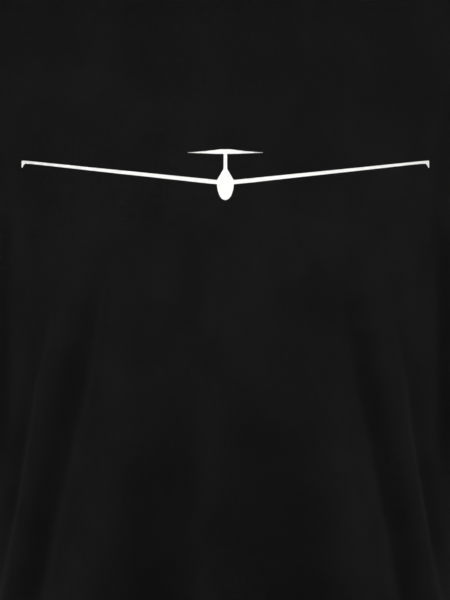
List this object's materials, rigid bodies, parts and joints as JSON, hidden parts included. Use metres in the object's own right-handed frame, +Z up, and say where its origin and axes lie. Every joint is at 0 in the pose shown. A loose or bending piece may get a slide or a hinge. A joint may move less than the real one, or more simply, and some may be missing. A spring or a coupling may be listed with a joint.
{
  "type": "short-sleeved t-shirt",
  "caption": "Dark crew-neck t-shirt with short sleeves, filled out as worn, with a white glider seen from ahead printed across the chest",
  "frame": {"origin": "middle of the neck opening, level with the highest shoulder points", "axes": "+Z up, the wearer faces -Y, +X is the wearer's left"},
  "size_m": [0.7756, 0.2526, 0.7588],
  "materials": {
    "jersey": "black cotton single jersey, fine vertical knit wales, matte",
    "ribbing": "black cotton rib, folded double",
    "tape": "black herringbone tape and overlocked seam edges",
    "label": "blank woven label, dark grey",
    "print": "white flexible film print, matte"
  },
  "bodies": {
    "root": {"front_panel": "jersey", "back_panel": "jersey", "left_sleeve": "jersey", "right_sleeve": "jersey", "neck_rib": "ribbing", "neck_tape": "tape", "left_shoulder_seam": "tape", "right_shoulder_seam": "tape", "left_side_seam": "tape", "right_side_seam": "tape", "left_armhole_seam": "tape", "right_armhole_seam": "tape", "neck_label": "label", "glider_print": "print"}
  },
  "joints": []
}
